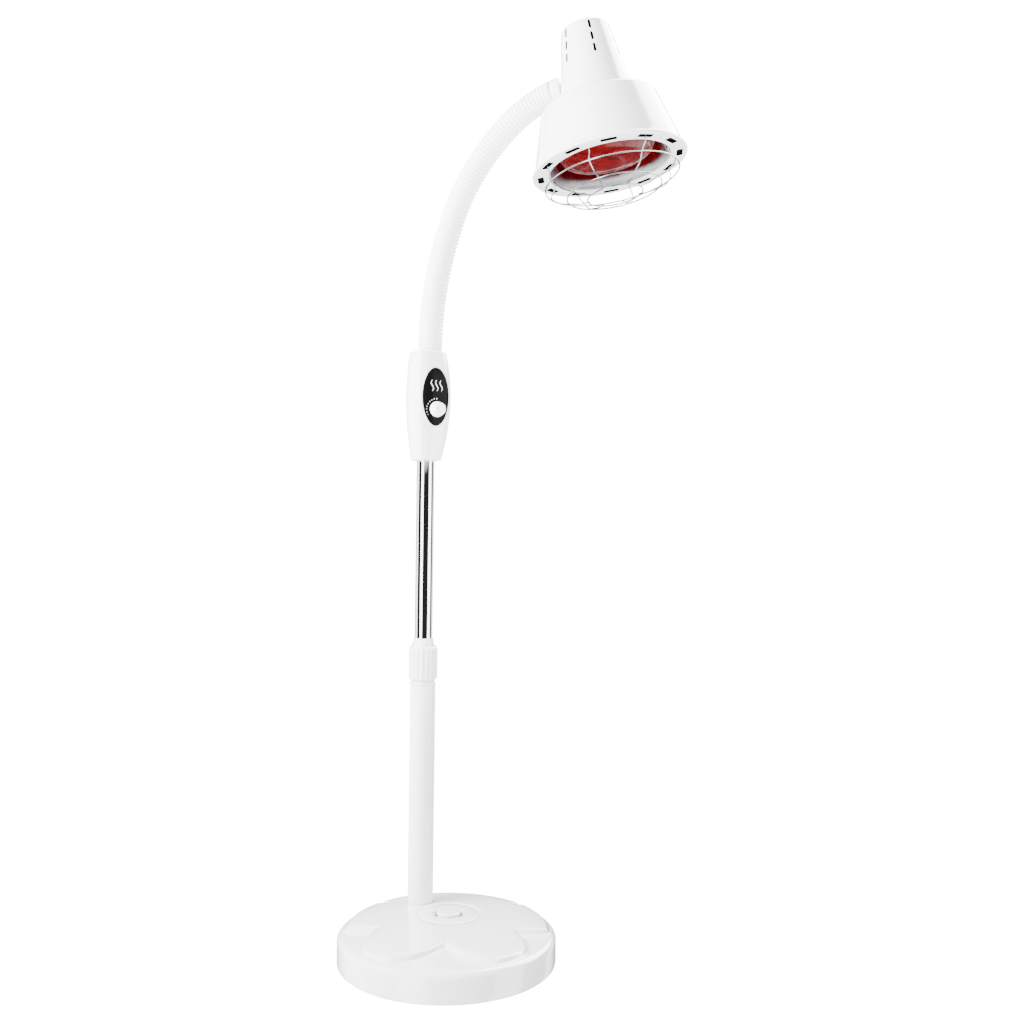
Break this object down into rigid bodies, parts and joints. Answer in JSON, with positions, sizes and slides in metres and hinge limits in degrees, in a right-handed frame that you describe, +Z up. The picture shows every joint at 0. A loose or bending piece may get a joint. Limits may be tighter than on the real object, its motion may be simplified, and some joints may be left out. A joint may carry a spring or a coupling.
{
  "type": "floor-standing infrared heat lamp",
  "caption": "White floor-standing heat lamp: round weighted base, telescopic pole, dimmer box, gooseneck, and a bell shade with a red reflector bulb and wire guard.",
  "frame": {"origin": "middle of the base's underside, on the floor", "axes": "+Z up, +X to the right and +Y to the back; the flower's notch and the picture's viewer are towards -Y, and the gooseneck leans 26 degrees forward of +X"},
  "size_m": [0.4309, 0.28, 1.1958],
  "materials": {
    "white_base": "glossy moulded white plastic",
    "white_tube": "white powder coat",
    "white_plastic": "glossy white ABS",
    "white_hose": "satin ribbed PVC sleeve",
    "chrome": "polished chrome plate",
    "guard_wire": "chrome-plated wire",
    "steel": "zinc-plated steel",
    "brass": "nickel-free brass",
    "black_panel": "glossy black plate",
    "black_plastic": "moulded black plastic",
    "rubber": "moulded rubber",
    "circuit_board": "glass-fibre board",
    "lead_sheath": "silicone-sheathed lead",
    "ceramic": "glazed lamp-holder ceramic",
    "sand": "damp packed sand",
    "red_glass": "ruby-stained reflector glass"
  },
  "bodies": {
    "base": {"base_shell": "white_base", "sand_ballast": "sand", "grip_pad_1": "rubber", "grip_pad_2": "rubber", "grip_pad_3": "rubber", "grip_pad_4": "rubber", "outer_tube": "white_tube", "tube_foot_insert": "steel", "pole_bolt": "steel", "tube_top_ring": "white_plastic", "collet": "white_plastic"},
    "plug_seal": {"plug_seal": "rubber"},
    "fill_plug": {"fill_plug": "white_base"},
    "lock_collar": {"lock_collar": "white_plastic"},
    "guide_bush": {"guide_bush": "black_plastic"},
    "mast": {"chrome_tube": "chrome", "tube_clamp": "steel", "box_rear_shell": "white_plastic", "box_front_shell": "white_plastic", "control_panel": "black_panel", "box_screw_1": "steel", "box_screw_2": "steel", "box_screw_3": "steel", "box_screw_4": "steel", "dimmer_module": "black_plastic", "dimmer_board": "circuit_board", "inlet_gland": "black_plastic", "hose_base_ring": "white_plastic", "hose_1": "white_hose", "spine_1": "steel", "lead_1": "lead_sheath"},
    "dimmer_knob": {"dimmer_knob": "white_plastic", "dimmer_shaft": "steel"},
    "neck_2": {"hose_2": "white_hose", "spine_2": "steel", "lead_2": "lead_sheath"},
    "neck_3": {"hose_3": "white_hose", "spine_3": "steel", "lead_3": "lead_sheath"},
    "neck_4": {"hose_4": "white_hose", "spine_4": "steel", "lead_4": "lead_sheath"},
    "head": {"hose_5": "white_hose", "spine_5": "steel", "lead_5": "lead_sheath", "end_ferrule": "white_plastic", "ferrule_nut": "steel", "neck_housing": "white_plastic", "shade": "white_plastic", "lamp_holder": "ceramic", "holder_bracket": "steel", "bracket_screw_1": "steel", "bracket_screw_2": "steel"},
    "wire_guard": {"wire_guard": "guard_wire"},
    "bulb_contact": {"bulb_contact": "brass"},
    "bulb": {"bulb_glass": "red_glass", "bulb_cap": "brass"}
  },
  "joints": [
    {"name": "plug_lift", "type": "slide", "parent": "base", "child": "plug_seal", "axis": [0, 0, 1], "range_m": [0, 0.008]},
    {"name": "plug_turn", "type": "hinge", "parent": "plug_seal", "child": "fill_plug", "pos_m": [0, 0.032, 0.05], "axis": [0, 0, 1], "range_deg": [0, 960]},
    {"name": "collar_turn", "type": "hinge", "parent": "base", "child": "lock_collar", "pos_m": [-0.041, 0.0806, 0.37], "axis": [0, 0, 1], "range_deg": [0, 120]},
    {"name": "mast_height", "type": "slide", "parent": "base", "child": "guide_bush", "axis": [0, 0, 1], "range_m": [-0.228, 0.03]},
    {"name": "mast_turn", "type": "hinge", "parent": "guide_bush", "child": "mast", "pos_m": [-0.041, 0.0806, 0.27], "axis": [0, 0, 1], "range_deg": [-175, 175]},
    {"name": "dimmer_turn", "type": "hinge", "parent": "mast", "child": "dimmer_knob", "pos_m": [-0.041, 0.0806, 0.7125], "axis": [-0.5, 0.866, 0], "range_deg": [0, 270]},
    {"name": "bend_1", "type": "hinge", "parent": "mast", "child": "neck_2", "pos_m": [-0.03232, 0.07637, 0.86227], "axis": [0.4384, 0.8988, 0], "range_deg": [-22, 10]},
    {"name": "bend_2", "type": "hinge", "parent": "neck_2", "child": "neck_3", "pos_m": [-0.01448, 0.06766, 0.94583], "axis": [0.4384, 0.8988, 0], "range_deg": [-22, 10]},
    {"name": "bend_3", "type": "hinge", "parent": "neck_3", "child": "neck_4", "pos_m": [0.01858, 0.05154, 1.02325], "axis": [0.4384, 0.8988, 0], "range_deg": [-22, 10]},
    {"name": "bend_4", "type": "hinge", "parent": "neck_4", "child": "head", "pos_m": [0.07119, 0.02588, 1.08576], "axis": [0.4384, 0.8988, 0], "range_deg": [-22, 10]},
    {"name": "guard_pull", "type": "slide", "parent": "head", "child": "wire_guard", "axis": [0.1807, -0.0881, -0.9796], "range_m": [0, 0.05]},
    {"name": "bulb_drop", "type": "slide", "parent": "head", "child": "bulb_contact", "axis": [0.1807, -0.0881, -0.9796], "range_m": [0, 0.0108]},
    {"name": "bulb_turn", "type": "hinge", "parent": "bulb_contact", "child": "bulb", "pos_m": [0.1942, -0.03412, 1.01202], "axis": [0.1807, -0.0881, -0.9796], "range_deg": [0, 1080]}
  ],
  "couplings": [
    {"joint": "plug_lift", "follows": "plug_turn", "m_per_rad": 0.00047742},
    {"joint": "bulb_drop", "follows": "bulb_turn", "m_per_rad": 0.0005729}
  ]
}
